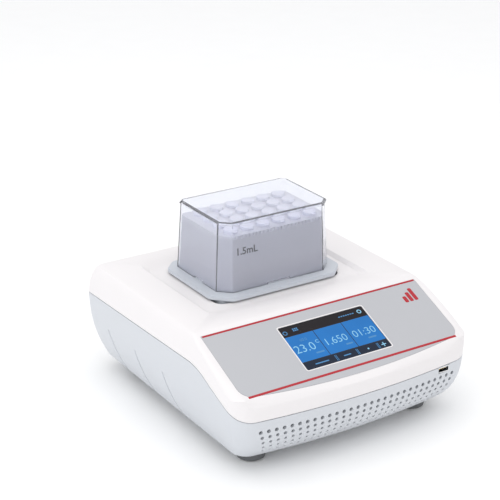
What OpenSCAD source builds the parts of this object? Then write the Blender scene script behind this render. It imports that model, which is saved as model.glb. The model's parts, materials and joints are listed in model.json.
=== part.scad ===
// Dry block heater with orbital shaking: a two-part moulded housing, a sloping
// control panel, and a shaken heater block that holds microtubes under a clear lid.
// Origin: centre of the footprint, on the surface the feet stand on. +X right, +Y rear, +Z up.

/* [Housing] */
// Overall width at the parting line
body_w = 264; // [252:1:300]
// Overall depth at the parting line
body_d = 292; // [280:1:320]
// Height of the flat top above the table
top_z = 113; // [110:1:125]
// Height of the housing floor above the table
floor_z = 13; // [8:1:15]
// Height at which the front fascia meets the base
split_front = 58; // [54:1:62]
// Height at which the sides meet the base
split_side = 88; // [84:1:90]
// Height at which the rear meets the base
split_rear = 82; // [79:1:85]
// Visible groove between cover and base
split_gap = 0.8; // [0.4:0.1:1.2]
// Wall of the top cover
cover_wall = 2.6; // [2.2:0.1:2.8]
// Wall of the base
base_wall = 3.2; // [3:0.1:4]
// How far the front pulls in at the bottom
tuck_front = 19.6; // [12:0.2:22]
// Exponent of the front's barrel curve
power_front = 3; // [1.6:0.1:3.2]
// How far the sides pull in at the bottom
tuck_side = 15.6; // [10:0.2:20]
// How far the rear pulls in at the bottom
tuck_rear = 12; // [8:0.5:18]
// Exponent of the barrel curve of the sides and the rear
power_side = 2.6; // [1.6:0.1:3.2]
// Sideways run of the cover's shoulder
shoulder_side = 8; // [6:1:14]
// Rearward run of the cover's shoulder
shoulder_rear = 16; // [10:1:22]
// Depth of the shoulder's start below the parting line at the rear
shoulder_drop = 3; // [0:0.5:5]
// Plan radius of the front corners
corner_front = 20; // [16:1:30]
// Plan radius of the rear corners
corner_rear = 9; // [7:1:18]
// Angle at which the bowed front leaves the corners
bow_angle = 8; // [4:1:10]

/* [Control panel] */
// Angle of the sloping panel
slope_angle = 23.15; // [20:0.05:25]
// Distance of the slope's top edge in front of the centre
slope_y = 54; // [50:1:58]
// Width of the membrane label
label_w = 242; // [200:1:246]
// Distance of the label's top edge down the slope
label_top = 6; // [4:0.5:10]
// Distance of the label's bottom edge down the slope
label_bottom = 92; // [86:0.5:93]
// Thickness of the label
label_t = 0.5; // [0.3:0.1:0.8]
// Width of the visible screen
screen_w = 95; // [80:0.5:100]
// Height of the visible screen
screen_h = 53.9; // [45:0.1:60]
// Distance of the screen's top edge down the slope
screen_top = 20; // [14:0.5:24]
// Thickness of the touch glass
glass_t = 1.5; // [1:0.1:2]

/* [Shaken platform] */
// Distance of the motor axis behind the centre
drive_y = 41.3; // [38:0.1:46]
// Throw of the eccentric
throw = 1.5; // [1:0.1:2]
// Height of the block
block_h = 52; // [44:1:56]
// Gap between the block and the lid around it
block_gap = 0.7; // [0.5:0.1:2]
// Margin of the cover flange around the lid
flange_margin = 10.5; // [8:0.5:12]
// Thickness of the flange
flange_t = 3.5; // [2.5:0.5:4]
// Height of the flange above the flat top
flange_rise = 2; // [1:0.5:4]
// Depth of the dish in the cover
dish_depth = 3.5; // [2:0.5:4]

/* [Lid and tubes] */
// Width of the lid's foot
lid_w = 129; // [127:1:132]
// Depth of the lid's foot
lid_d = 88; // [86:1:91]
// Height of the lid
lid_h = 70; // [66:1:80]
// Wall of the lid
lid_wall = 1.8; // [1.5:0.1:2]
// Draft of the lid's walls
lid_draft = 3; // [2:0.5:4]
// Chamfer of the lid's front corners
lid_chamfer = 12; // [8:1:14]
// Wells along the block
wells_x = 6; // [3:1:6]
// Wells across the block
wells_y = 4; // [2:1:4]
// Distance between neighbouring wells
well_pitch = 18; // [17:0.5:18.5]
// Outer diameter of a microtube
tube_d = 10.8; // [9:0.1:11]
// Radial clearance of a tube in its well
tube_gap = 0.35; // [0.3:0.05:0.5]

/* [Air and feet] */
// Vent columns across the front
vent_columns = 29; // [9:2:31]
// Distance between vent columns
vent_pitch = 7.7; // [7:0.1:8]
// Vent rows
vent_rows = 5; // [3:1:5]
// Diameter of the top row of vents
vent_d = 3.9; // [3:0.1:4.5]
// Diameter of a foot
foot_d = 30; // [24:1:32]
// Sideways place of the feet
foot_x = 92; // [84:1:94]
// Distance of the front feet from the centre
foot_front = 98; // [90:1:100]
// Distance of the rear feet from the centre
foot_rear = 96; // [90:1:102]
// Side of the square cooling fan
fan_side = 40; // [36:1:44]

/* [Hidden] */

eps = 0.01;
skin_steps = 7;
core_steps = 5;
half_w = body_w / 2;
half_d = body_d / 2;
shoulder_z = split_rear - shoulder_drop;
rise = top_z - shoulder_z;
bow_x = half_w - corner_front * (1 - sin(bow_angle));
bow = bow_x * tan(bow_angle) / 2;
slope_cos = cos(slope_angle);
slope_sin = sin(slope_angle);
slope_drop = (half_d - slope_y) * slope_sin / slope_cos;
slope_foot = top_z - slope_drop;

// ---- outline of the housing ----
// One level of the housing, drawn inwards by ds at the sides, df at the front and dr at the rear.
// Round corners are arcs, and the front edge is a shallow parabola.
function arc(cx, cy, r, a0, a1, n) =
    [for (i = [0:n]) [cx + r * cos(a0 + (a1 - a0) * i / n), cy + r * sin(a0 + (a1 - a0) * i / n)]];
function full_outline(ds, df, dr, rf, rr, n) =
    let (w = half_w - ds, yr = half_d - dr, yf = df - half_d,
        xe = w - rf * (1 - sin(bow_angle)), b = xe * tan(bow_angle) / 2)
    concat(
        [for (i = [1 - n:n - 1]) [xe * i / n, yf + b * pow(i / n, 2)]],
        arc(w - rf, yf + b + rf * cos(bow_angle), rf, bow_angle - 90, 0, n),
        arc(w - rr, yr - rr, rr, 0, 90, n),
        arc(rr - w, yr - rr, rr, 90, 180, n),
        arc(rf - w, yf + b + rf * cos(bow_angle), rf, 180, 270 - bow_angle, n));
function slope_outline(d, dr, yf, rf, rr, n) =
    let (w = half_w - d, yr = half_d - dr)
    concat(
        arc(w - rf, yf + rf, rf, -90, 0, n),
        arc(w - rr, yr - rr, rr, 0, 90, n),
        arc(rr - w, yr - rr, rr, 90, 180, n),
        arc(rf - w, yf + rf, rf, 180, 270, n));

// Run of the slope plane at height z, moved inwards by t.
function slope_run(z, t) = t / slope_sin - slope_y - (top_z - z) * slope_cos / slope_sin;
// Barrel curve: how far a wall that starts at height z0 has pulled in at height z.
function pull(z, z0, depth, power) = depth * pow(max(0, (z0 - z) / (z0 - floor_z)), power);
function front_tuck(z) = pull(z, split_front, tuck_front, power_front);
function side_tuck(z) = pull(z, split_side, tuck_side, power_side);
function rear_tuck(z) = pull(z, split_side, tuck_rear, power_side);
function front_bow(x) = bow * pow(x / bow_x, 2);

module level(z) {
    translate([0, 0, z]) linear_extrude(eps) children();
}
function lifted(outline, z) = [for (p = outline) [p[0], p[1], z]];

// Points of the whole housing as stacked levels, moved inwards by t. n sets how fine they are.
function base_level(z, t, n) =
    let (s = side_tuck(z), rf = corner_front - s / 3, rr = corner_rear - s / 8)
    lifted(full_outline(s + t, front_tuck(z) + t, rear_tuck(z) + t, rf, rr, n), z);
function fascia_level(z, d, t, n) =
    lifted(full_outline(side_tuck(z) + d + t, d + t, rear_tuck(z) + t, corner_front, corner_rear, n), z);
function top_level(a, t, n) =
    let (z = shoulder_z + (rise - t) * sin(a), f = (top_z - z) / slope_drop)
    lifted(slope_outline(t + shoulder_side * (1 - cos(a)), t + shoulder_rear * (1 - cos(a)),
        slope_run(z, t), 3 + 14 * f * f, corner_rear, n), z);
function housing_points(t, n) = concat(
    [for (i = [0:n]) each base_level(split_front - (split_front - floor_z - t) * i / n, t, n)],
    [for (k = [0:2]) each fascia_level(slope_foot - 3 + 1.4 * k - t, 0.55 * k * k, t, n)],
    [for (i = [0:n + 2]) each top_level(90 * i / (n + 2), t, n)]);

// The housing is convex, so its skin is the hull of those points.
module housing_body(t, n) {
    points = housing_points(t, n);
    hull() polyhedron(points, [for (i = [0:3:len(points) - 3]) [i, i + 1, i + 2]]);
}

// Region above the parting line, moved up by s.
module above_split(s) {
    far = 200;
    rotate([90, 0, 90]) translate([0, 0, -far]) linear_extrude(2 * far)
        polygon([[-far, split_front + s], [8 - half_d, split_front + s],
            [15 - half_d, split_front + 2.6 + s], [24 - half_d, split_front + 7.2 + s],
            [67 - half_d, split_side - 4 + s], [76 - half_d, split_side - 1.4 + s],
            [88 - half_d, split_side + s], [half_d, split_rear + s], [far, split_rear - 1.2 + s],
            [far, top_z + far], [-far, top_z + far]]);
}

module below_split(s) {
    difference() {
        far_box();
        above_split(s);
    }
}

// Places children on the slope: x across, y up the slope (so -v is down it), z outwards.
module on_slope() {
    translate([0, -slope_y, top_z]) rotate([slope_angle, 0, 0]) children();
}

// Unit vector
function unit(v) = v / norm(v);
// Rounds every corner of a polygon with an arc of radius r.
function soften(p, r, n) =
    [for (i = [0:len(p) - 1])
        let (b = p[i], u = unit(p[(i + len(p) - 1) % len(p)] - b), v = unit(p[(i + 1) % len(p)] - b),
            half = acos(u * v) / 2, centre = b + unit(u + v) * r / sin(half), turn = 180 - 2 * half,
            s = b + u * r / tan(half) - centre, e = b + v * r / tan(half) - centre)
        for (k = [0:n]) centre + (s * sin(turn * (1 - k / n)) + e * sin(turn * k / n)) / sin(turn)];
// Rectangle with chamfered corners: cf at the front, cr at the rear.
function chamfered(w, d, cf, cr) =
    [[cf - w / 2, -d / 2], [w / 2 - cf, -d / 2], [w / 2, cf - d / 2], [w / 2, d / 2 - cr],
        [w / 2 - cr, d / 2], [cr - w / 2, d / 2], [-w / 2, d / 2 - cr], [-w / 2, cf - d / 2]];
// Same offset repeated, so that it can be added to a list of points.
function shifted(x, y, n) = [for (i = [1:n]) [x, y]];

// Rectangle with true arcs at its corners.
module rounded(w, d, r) {
    square([w - 2 * r, d], center = true);
    square([w, d - 2 * r], center = true);
    for (x = [-1, 1], y = [-1, 1]) translate([x * (w / 2 - r), y * (d / 2 - r)]) circle(r, $fn = 48);
}
module block_box(x0, x1, y0, y1, z0, z1) {
    translate([x0, y0, z0]) cube([x1 - x0, y1 - y0, z1 - z0]);
}
module rod(d, z0, z1) {
    translate([0, 0, z0]) cylinder(d = d, h = z1 - z0, $fn = 48);
}
module ring(d_out, d_in, z0, z1) {
    difference() {
        rod(d_out, z0, z1);
        rod(d_in, z0 - 1, z1 + 1);
    }
}
// Pan-head screw with its head on the plane z, shank downwards.
module screw(d, length, z) {
    rod(d, z - length, z);
    difference() {
        rod(1.8 * d, z, z + 0.6 * d);
        translate([0, 0, z + 0.25 * d]) cylinder(d = d, h = d, $fn = 6);
    }
}
module at_motor() {
    translate([0, drive_y, 0]) children();
}
module at_platform() {
    translate([throw, drive_y, 0]) children();
}
module at_feet() {
    for (x = [-foot_x, foot_x], y = [-foot_front, foot_rear]) translate([x, y, 0]) children();
}

// ---- heights of the stack, from the flange down ----
running = 0.05;
tap = 0.1;
flange_top = top_z + flange_rise;
flange_z = flange_top - flange_t;
heater_t = 8;
mat_t = 1.5;
pad_t = 6;
carrier_t = 6;
heater_z = flange_top - heater_t;
mat_z = heater_z - mat_t;
pad_z = mat_z - pad_t;
carrier_z = pad_z - carrier_t;
flange_w = lid_w + 2 * flange_margin;
flange_d = lid_d + 2 * flange_margin;
block_w = lid_w - 2 * (lid_wall + block_gap);
block_d = lid_d - 2 * (lid_wall + block_gap);
block_draft = lid_draft * block_h / lid_h;
block_cut = 11;
pocket_gap = 2;
skirt_t = 4;
skirt_w = block_w + pocket_gap + 2 * skirt_t;
skirt_d = block_d + pocket_gap + 2 * skirt_t;
skirt_gap = throw + 2.5;
dish_w = 184;
dish_l = 144;
dish_y = drive_y - 1.8;
dish_z = top_z - dish_depth;
block_top = flange_top + block_h;
lid_top = flange_top + lid_h;
rack_t = 3;
rack_z = block_top;
tube_l = 38;
tube_r = tube_d / 2;
collar_r = tube_r + 1.2;
well_r = tube_r + tube_gap;
bush_d = 12;
sensor_y = 12;
// drive
boss_d = 34;
bearing_h = 8;
boss_z = carrier_z - 11.5;
hub_z = boss_z - 10;
hub_h = 9;
plate_t = 3;
plate_z = hub_z - 3 - plate_t;
plate_top = plate_z + plate_t;
motor_d = 60;
motor_h = 36;
chassis_t = 1.5;
inside_z = floor_z + base_wall;
chassis_top = inside_z + chassis_t;
post_x = 64;
post_y = 46;
idler_x = 55;
idler_y = 30;
idler_pin = 6;
idler_cup = 7;
// display
screen_v = screen_top + screen_h / 2;
glass_w = screen_w + 8;
glass_h = screen_h + 10;
module_t = 5;
module_w = screen_w + 3;
module_h = screen_h + 4;
bracket_x = screen_w / 2 + 9.5;
bracket_t = 1.2;
board_drop = 4.7;
bracket_z = -label_t - glass_t - module_t;
// rear
rear_in = half_d - 17;
rear_t = 1.5;
rear_out = rear_in + rear_t;
rear_w = 148;
rear_z0 = 30;
rear_z1 = 72;
rear_mid = (rear_z0 + rear_z1) / 2;
rear_ear = 80;
fan_x = -44;
fan_t = 10;
inlet_x = 50;
inlet_w = 28;
inlet_h = 34;
inlet_t = 22;
drawer_w = 24;
drawer_h = 8.5;
drawer_t = 15;
drawer_z = rear_mid + 10.5;
drawer_gap = 0.3;
switch_x = 14;
switch_w = 13;
switch_h = 19;
rocker_tilt = 8;
// front socket
usb_x = 95.8;
usb_w = 13.2;
socket_gap = 0.3;
usb_h = 5.8;
usb_z = split_front - split_gap - usb_h - 0.2;
usb_t = 14;
usb_post = 28;
usb_board_y = 5.5;
usb_face = front_bow(usb_x) - half_d + 0.7;
// main board
board_x = 80;
board_y0 = -111;
board_y1 = -33;
board_z = inside_z + 10;
board_t = 1.6;
// steps in the side walls
step_depth = 0.8;
step_y = [104, 50, -3];

module far_box() {
    block_box(-200, 200, -200, 200, -1, 200);
}
module on_screen() {
    on_slope() translate([0, -screen_v, 0]) children();
}

// Outline of the dish, narrower by dw and shorter by dl.
function dish_outline(dw, dl) =
    soften(chamfered(dish_w - dw, dish_l - dl, 8, 8) + shifted(0, dish_y, 8), 18, 6);
module top_cover() {
    color("#f1eeee") difference() {
        intersection() {
            housing_body(0, skin_steps);
            above_split(split_gap / 2);
            union() {
                difference() {
                    far_box();
                    housing_body(cover_wall, core_steps);
                }
                translate([0, dish_y, dish_z - cover_wall]) linear_extrude(20) rounded(dish_w, dish_l, 26);
                at_feet() rod(9, split_front + 2.5, top_z);
                on_screen() for (x = [-bracket_x, bracket_x], y = [-1, 1])
                    translate([x, y * (screen_h / 2 - 4), 0]) rod(6, bracket_z, 0);
            }
        }
        hull() {
            level(top_z + 0.2) polygon(dish_outline(0, 0));
            level(dish_z) polygon(dish_outline(9, 17));
        }
        at_motor() translate([0, 0, dish_z - 10]) linear_extrude(20)
            rounded(skirt_w + 2 * skirt_gap, skirt_d + 2 * skirt_gap, 10);
        on_slope() translate([0, 0, -label_t]) linear_extrude(5) label_outline(0.3);
        on_screen() translate([0, 0, -label_t - glass_t]) linear_extrude(5)
            rounded(glass_w + 0.4, glass_h + 0.4, 3.2);
        on_screen() translate([0, 0, -10]) linear_extrude(20) rounded(module_w + 0.6, module_h + 0.6, 1);
        at_feet() rod(4 + 2 * tap, split_front, split_front + 22);
        on_screen() for (x = [-bracket_x, bracket_x], y = [-1, 1])
            translate([x, y * (screen_h / 2 - 4), 0]) rod(2.5 + 2 * tap, bracket_z - 1, -3);
    }
}

// Fine slanted steps in the side walls, as deep as step_depth all the way down the barrel.
module side_steps() {
    difference() {
        for (y = step_y) translate([0, y, 54]) rotate([-19, 0, 0]) block_box(-200, 200, -1.6, 0, -60, 0);
        housing_body(step_depth, core_steps);
    }
}

module vents() {
    for (r = [0:vent_rows - 1]) {
        z = split_front - 11.5 - r * 6.2;
        lean = atan(power_front * front_tuck(z) / (split_front - z));
        d = vent_d - r * 0.4;
        for (c = [0:vent_columns - 1]) {
            x = (c - (vent_columns - 1) / 2) * vent_pitch * (1 - 0.018 * r);
            translate([x, front_bow(x) + front_tuck(z) - half_d, z]) rotate([90 + lean, 0, 0])
                cylinder(d = d, h = 16, center = true, $fn = 24);
        }
    }
}

// Thin wall inside the parting line that closes the groove.
module base_lip() {
    lip_rise = 2.6;
    lip_root = 5;
    difference() {
        housing_body(base_wall - 0.3, core_steps);
        housing_body(base_wall + 1.2, core_steps);
        above_split(lip_rise);
        below_split(-lip_root);
    }
}
// Sleeve around the opening for the rear panel, cut off at the outer skin.
module rear_sleeve() {
    intersection() {
        housing_body(0.6, core_steps);
        union() {
            difference() {
                block_box(-rear_w / 2 - 2, rear_w / 2 + 2, rear_out, half_d + 7, rear_z0 - 2, rear_z1 + 2);
                block_box(-rear_w / 2, rear_w / 2, rear_out - 1, half_d + 8, rear_z0, rear_z1);
            }
            at_ears(rear_out) rod(7, 0, 16);
        }
    }
}
module at_board() {
    for (x = [-74, 74], y = [board_y0 + 6, board_y1 - 6]) translate([x, y, 0]) children();
}
module at_ears(y) {
    for (x = [-rear_ear, rear_ear]) translate([x, y, rear_mid]) rotate([-90, 0, 0]) children();
}
module base_bosses() {
    at_feet() rod(11, floor_z + 1, split_front + 2);
    at_board() rod(7, floor_z + 1, board_z);
    for (x = [-7, 7]) translate([usb_x + x, usb_face + usb_post, 0]) rod(5, floor_z + 1, usb_z - board_t);
}
module base_cuts() {
    block_box(-rear_w / 2, rear_w / 2, rear_out, half_d + 7, rear_z0, rear_z1);
    at_feet() rod(4 + 2 * tap, 0, 100);
    block_box(usb_x - usb_w / 2 - socket_gap, usb_x + usb_w / 2 + socket_gap, -half_d - 7, usb_face + 8,
        usb_z - socket_gap, usb_z + usb_h + socket_gap);
    at_ears(rear_in) rod(3 + 2 * tap, -1, 10);
    at_board() rod(3 + 2 * tap, inside_z, board_z + 1);
}
module base_housing() {
    color("#d3d7de") difference() {
        union() {
            difference() {
                housing_body(0, skin_steps);
                housing_body(base_wall, core_steps);
                above_split(-split_gap / 2);
                side_steps();
            }
            base_lip();
            rear_sleeve();
            base_bosses();
        }
        base_cuts();
        vents();
    }
}

// Label: straight sides, a lower edge bowed like the fascia, and round lower corners.
module label_outline(grow) {
    w = label_w / 2 + grow;
    r = 13;
    xe = w - r * (1 - sin(bow_angle));
    b = xe * tan(bow_angle) / 2;
    yf = -label_bottom - grow;
    polygon(concat(
        [for (i = [-5:5]) [xe * i / 6, yf + b * pow(i / 6, 2)]],
        arc(w - r, yf + b + r * cos(bow_angle), r, bow_angle - 90, 0, 6),
        [[w, -label_top + grow], [-w, -label_top + grow]],
        arc(r - w, yf + b + r * cos(bow_angle), r, 180, 270 - bow_angle, 6)));
}
module control_label() {
    color("#bfc0c5") on_slope() translate([0, 0, -label_t]) difference() {
        linear_extrude(label_t) label_outline(0);
        translate([0, -screen_v, -1]) linear_extrude(5) rounded(screen_w, screen_h, 1.5);
    }
}
module label_stripes() {
    color("#be1e2d") on_slope() {
        block_box(-label_w / 2 + 1, label_w / 2 - 1, -label_top - 1.9, -label_top, 0, 0.15);
        block_box(-label_w / 2 + 5, label_w / 2 - 5, -label_bottom + 7, -label_bottom + 9.3, 0, 0.15);
    }
}
module touch_glass() {
    color("#10131a") on_screen() translate([0, 0, -label_t - glass_t]) linear_extrude(glass_t)
        rounded(glass_w, glass_h, 3);
}
module display_module() {
    color("#8b9097") on_screen() translate([0, 0, bracket_z]) linear_extrude(module_t)
        rounded(module_w, module_h, 0.8);
}
module at_standoffs() {
    for (x = [-1, 1], y = [-1, 1]) translate([x * (screen_w / 2 - 3.5), y * (screen_h / 2 - 5), 0]) children();
}
module display_bracket() {
    color("#9aa0a6") on_screen() difference() {
        union() {
            translate([0, 0, bracket_z - bracket_t]) linear_extrude(bracket_t)
                rounded(2 * bracket_x + 12, screen_h + 8, 3);
            at_standoffs() rod(5, bracket_z - bracket_t - board_drop, bracket_z - bracket_t);
        }
        translate([0, 0, -20]) linear_extrude(40) rounded(screen_w - 35, screen_h - 24, 3);
        for (x = [-bracket_x, bracket_x], y = [-1, 1]) translate([x, y * (screen_h / 2 - 4), 0]) rod(3, -20, 1);
    }
}
module display_board() {
    color("#1f6b43") on_screen() {
        translate([0, 0, bracket_z - bracket_t - board_drop - board_t]) linear_extrude(board_t)
            rounded(screen_w + 5, screen_h, 2);
        translate([0, 0, bracket_z - bracket_t - board_drop]) block_box(-12, 12, -10, 10, 0, 2.5);
    }
}
module display_screws() {
    color("silver") on_screen() for (x = [-bracket_x, bracket_x], y = [-1, 1])
        translate([x, y * (screen_h / 2 - 4), bracket_z - bracket_t]) mirror([0, 0, 1]) screw(2.5, 5, 0);
}

module usb_socket() {
    color("silver") translate([usb_x, usb_face, usb_z]) {
        difference() {
            block_box(-usb_w / 2, usb_w / 2, 0, usb_t, 0, usb_h);
            block_box(-usb_w / 2 + 0.5, usb_w / 2 - 0.5, -1, usb_t - 1, 0.5, usb_h - 0.5);
        }
        block_box(-5.6, 5.6, 2, usb_t, usb_h / 2, usb_h / 2 + 1.6);
    }
}
module usb_board() {
    color("#1f6b43") translate([usb_x, usb_face, usb_z - board_t])
        block_box(-11, 11, usb_board_y, usb_post + 4, 0, board_t);
}

module rear_panel() {
    color("#b9bdc3") difference() {
        translate([0, rear_out, rear_mid]) rotate([90, 0, 0]) linear_extrude(rear_t)
            rounded(2 * rear_ear + 10, rear_z1 - rear_z0 + 4, 3);
        translate([fan_x, 0, rear_mid]) for (k = [1:3], i = [1:6 * k])
            rotate([0, i * 60 / k, 0]) translate([5.4 * k, rear_in - 1, 0]) rotate([-90, 0, 0]) rod(3.8, 0, 4);
        for (x = [-1, 1], z = [-1, 1])
            translate([fan_x + x * (fan_side / 2 - 4), rear_in - 1, rear_mid + z * (fan_side / 2 - 4)])
                rotate([-90, 0, 0]) rod(3 + 2 * tap, 0, 4);
        at_ears(rear_in - 1) rod(3 + 2 * tap, 0, 4);
        block_box(inlet_x - inlet_w / 2, inlet_x + inlet_w / 2, rear_in - 1, rear_out + 1,
            rear_mid - inlet_h / 2, rear_mid + inlet_h / 2);
        block_box(switch_x - switch_w / 2, switch_x + switch_w / 2, rear_in - 1, rear_out + 1,
            rear_mid - switch_h / 2, rear_mid + switch_h / 2);
    }
}
module rear_panel_screws() {
    color("silver") for (x = [-rear_ear, rear_ear])
        translate([x, rear_in, rear_mid]) rotate([90, 0, 0]) screw(3, 9, 0);
}
module mains_inlet() {
    flange_out = 2;
    color("#202226") difference() {
        union() {
            block_box(inlet_x - inlet_w / 2 + 0.1, inlet_x + inlet_w / 2 - 0.1, rear_out - inlet_t, rear_out,
                rear_mid - inlet_h / 2 + 0.1, rear_mid + inlet_h / 2 - 0.1);
            translate([inlet_x, rear_out + flange_out, rear_mid]) rotate([90, 0, 0]) linear_extrude(flange_out)
                rounded(inlet_w + 4, inlet_h + 4, 3);
        }
        translate([inlet_x, rear_out + 5, rear_mid - 6]) rotate([90, 0, 0]) linear_extrude(21)
            polygon([[-12.2, -8.4], [12.2, -8.4], [12.2, 3.4], [7.2, 8.4], [-7.2, 8.4], [-12.2, 3.4]]);
        block_box(inlet_x - drawer_w / 2 - drawer_gap, inlet_x + drawer_w / 2 + drawer_gap,
            rear_out + 2 - drawer_t - drawer_gap, rear_out + 5,
            drawer_z - drawer_h / 2 - drawer_gap, drawer_z + drawer_h / 2 + drawer_gap);
    }
}
module inlet_pins() {
    color("silver") for (p = [[-7, -8], [0, -4], [7, -8]])
        translate([inlet_x + p[0], 0, rear_mid + p[1]]) block_box(-1, 1, rear_out - 16, rear_out - 2, -2, 2);
}
module fuse_drawer() {
    color("#2a2c31") translate([inlet_x, rear_out + 2, drawer_z]) {
        difference() {
            block_box(-drawer_w / 2, drawer_w / 2, -drawer_t, 0.5, -drawer_h / 2, drawer_h / 2);
            block_box(-10.6, 10.6, -drawer_t + 1, -1.5, -drawer_h / 2 + 1, drawer_h);
        }
        block_box(-8, 8, 0, 2, drawer_h / 2 - 2, drawer_h / 2);
    }
}
module fuses() {
    color("#cfd6da") for (y = [-drawer_t + 4, -4.5])
        translate([inlet_x - 10, rear_out + 2 + y, drawer_z - drawer_h / 2 + 1 + 2.6])
            rotate([0, 90, 0]) rod(5, 0, 20);
}
module switch_frame() {
    color("#202226") difference() {
        union() {
            block_box(switch_x - switch_w / 2 + 0.1, switch_x + switch_w / 2 - 0.1, rear_out - 16, rear_out,
                rear_mid - switch_h / 2 + 0.1, rear_mid + switch_h / 2 - 0.1);
            translate([switch_x, rear_out + 1.5, rear_mid]) rotate([90, 0, 0]) linear_extrude(1.5)
                rounded(switch_w + 3, switch_h + 3, 1.5);
        }
        block_box(switch_x - switch_w / 2 + 1.5, switch_x + switch_w / 2 - 1.5, rear_out - 11, rear_out + 3,
            rear_mid - switch_h / 2 + 1.5, rear_mid + switch_h / 2 - 1.5);
        translate([switch_x - switch_w / 2 + 0.5, rear_out - 4, rear_mid]) rotate([0, 90, 0])
            rod(2.4 + 2 * running, 0, switch_w - 1);
    }
}
module switch_rocker() {
    half = switch_h / 2 - 2.6;
    color("#2f3238") translate([switch_x, rear_out - 4, rear_mid]) rotate([rocker_tilt, 0, 0]) {
        rotate([90, 0, 90]) translate([0, 0, -switch_w / 2 + 1.9]) linear_extrude(switch_w - 3.8)
            polygon([[-4, 1], [-4, -1], [-1, -2], [2, -half], [6.8, -half],
                [5.4, 0], [6.8, half], [2, half], [-1, 2]]);
        translate([-switch_w / 2 + 0.8, 0, 0]) rotate([0, 90, 0]) rod(2.4, 0, switch_w - 1.6);
    }
}
module fan_frame() {
    color("#26282c") translate([fan_x, rear_in, rear_mid]) rotate([90, 0, 0]) difference() {
        union() {
            difference() {
                linear_extrude(fan_t) rounded(fan_side, fan_side, 3);
                rod(fan_side - 2, -1, fan_t + 1);
            }
            rod(13, 0, 1.6);
            for (a = [45:90:315]) rotate([0, 0, a]) block_box(0, fan_side / 2, -1.2, 1.2, 0, 1.6);
        }
        for (x = [-1, 1], y = [-1, 1]) translate([x * (fan_side / 2 - 4), y * (fan_side / 2 - 4), 0])
            rod(3 + 2 * tap, -1, fan_t + 1);
        rod(3 + 2 * running, -1, 2);
    }
}
module fan_screws() {
    color("silver") for (x = [-1, 1], z = [-1, 1])
        translate([fan_x + x * (fan_side / 2 - 4), rear_out, rear_mid + z * (fan_side / 2 - 4)])
            rotate([-90, 0, 0]) screw(3, fan_t + rear_t - 1, 0);
}
module fan_rotor() {
    color("#33363b") translate([fan_x, rear_in, rear_mid]) rotate([90, 0, 0]) {
        rod(3, 0.1, 3);
        rod(15, 2, fan_t - 1);
        for (i = [0:6]) rotate([0, 0, i * 360 / 7]) translate([6, 0, (fan_t + 1) / 2]) rotate([28, 0, 0])
            block_box(0, fan_side / 2 - 8.2, -3.6, 3.6, -0.6, 0.6);
    }
}

module feet() {
    recess = 6;
    color("#7d8084") at_feet() difference() {
        rotate_extrude($fn = 64) polygon([[0, 0], [foot_d / 2 - 3.5, 0], [foot_d / 2 - 1.8, 1.2],
            [foot_d / 2, floor_z], [0, floor_z]]);
        rod(10, -1, recess);
        rod(4 + 2 * tap, 0, floor_z + 1);
    }
}
module housing_screws() {
    color("silver") at_feet() translate([0, 0, 6]) mirror([0, 0, 1]) screw(4, split_front + 12, 0);
}
module chassis_plate() {
    color("#aeb2b8") difference() {
        translate([0, drive_y, inside_z]) linear_extrude(chassis_t) rounded(140, 106, 4);
        at_motor() rod(30, 0, 40);
    }
}
module rating_plate() {
    color("#c9ccd1") translate([0, 0, floor_z - 0.3]) linear_extrude(0.3) rounded(60, 36, 2);
}

module at_posts() {
    at_motor() for (x = [-post_x, post_x], y = [-post_y, post_y]) translate([x, y, 0]) children();
}
module at_idlers() {
    at_motor() for (x = [-idler_x, idler_x], y = [-idler_y, idler_y]) translate([x, y, 0]) children();
}
module motor_posts() {
    color("#c2c5ca") at_posts() difference() {
        translate([0, 0, chassis_top]) cylinder(d = 9, h = plate_z - chassis_top, $fn = 6);
        rod(4 + 2 * tap, plate_z - 12, plate_z + 1);
    }
}
module motor_plate() {
    color("#a9adb3") difference() {
        union() {
            translate([0, drive_y, plate_z]) linear_extrude(plate_t) rounded(144, 108, 5);
            at_idlers() rod(24, plate_top, plate_top + idler_cup);
        }
        at_motor() rod(22 + 2 * tap, 0, 100);
        at_motor() for (a = [45:90:315]) rotate([0, 0, a]) translate([22, 0, 0]) rod(3 + 2 * tap, 0, 100);
        at_posts() rod(4 + 2 * tap, 0, 100);
        at_idlers() rod(19 + 2 * running, plate_top + 1, 100);
        at_idlers() rod(12, 0, 100);
    }
}
module post_screws() {
    color("silver") at_posts() screw(4, plate_t + 8, plate_top);
}
module drive_motor() {
    color("#3a3d42") at_motor() difference() {
        union() {
            rod(motor_d, plate_z - motor_h, plate_z);
            rod(22, plate_z, plate_top);
            rod(24, plate_z - motor_h - 3, plate_z - motor_h);
        }
        rod(10, plate_z - 26, plate_top + 1);
        rod(19 + 2 * running, plate_top - 6, plate_top + 1);
        for (a = [45:90:315]) rotate([0, 0, a]) translate([22, 0, 0])
            rod(3 + 2 * tap, plate_z - 7, plate_z + 1);
    }
}
module motor_screws() {
    color("silver") at_motor() for (a = [45:90:315]) rotate([0, 0, a]) translate([22, 0, 0])
        screw(3, plate_t + 6, plate_top);
}
module motor_bearing() {
    color("#cfd2d6") at_motor() ring(19, 8 + 2 * running, plate_top - 6, plate_top);
}
module drive_shaft() {
    color("#c9ccd0") {
        at_motor() rod(8, plate_z - 24, hub_z + 1);
        at_motor() rod(28, hub_z, hub_z + hub_h);
        at_platform() rod(10, hub_z + hub_h, boss_z + bearing_h + 0.5);
    }
}
module counterweight() {
    reach = 38;
    color("#8d9096") at_motor() difference() {
        union() {
            intersection() {
                rod(2 * reach, hub_z + 0.5, hub_z + hub_h - 0.5);
                block_box(-reach - 1, -6, -reach - 1, reach + 1, 0, 200);
            }
            rod(38, hub_z + 0.5, hub_z + hub_h - 0.5);
        }
        rod(28 + 2 * running, 0, 200);
        translate([0, 0, hub_z + hub_h / 2]) rotate([0, 90, 0]) rod(4 + 2 * tap, 10, 30);
    }
}
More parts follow.
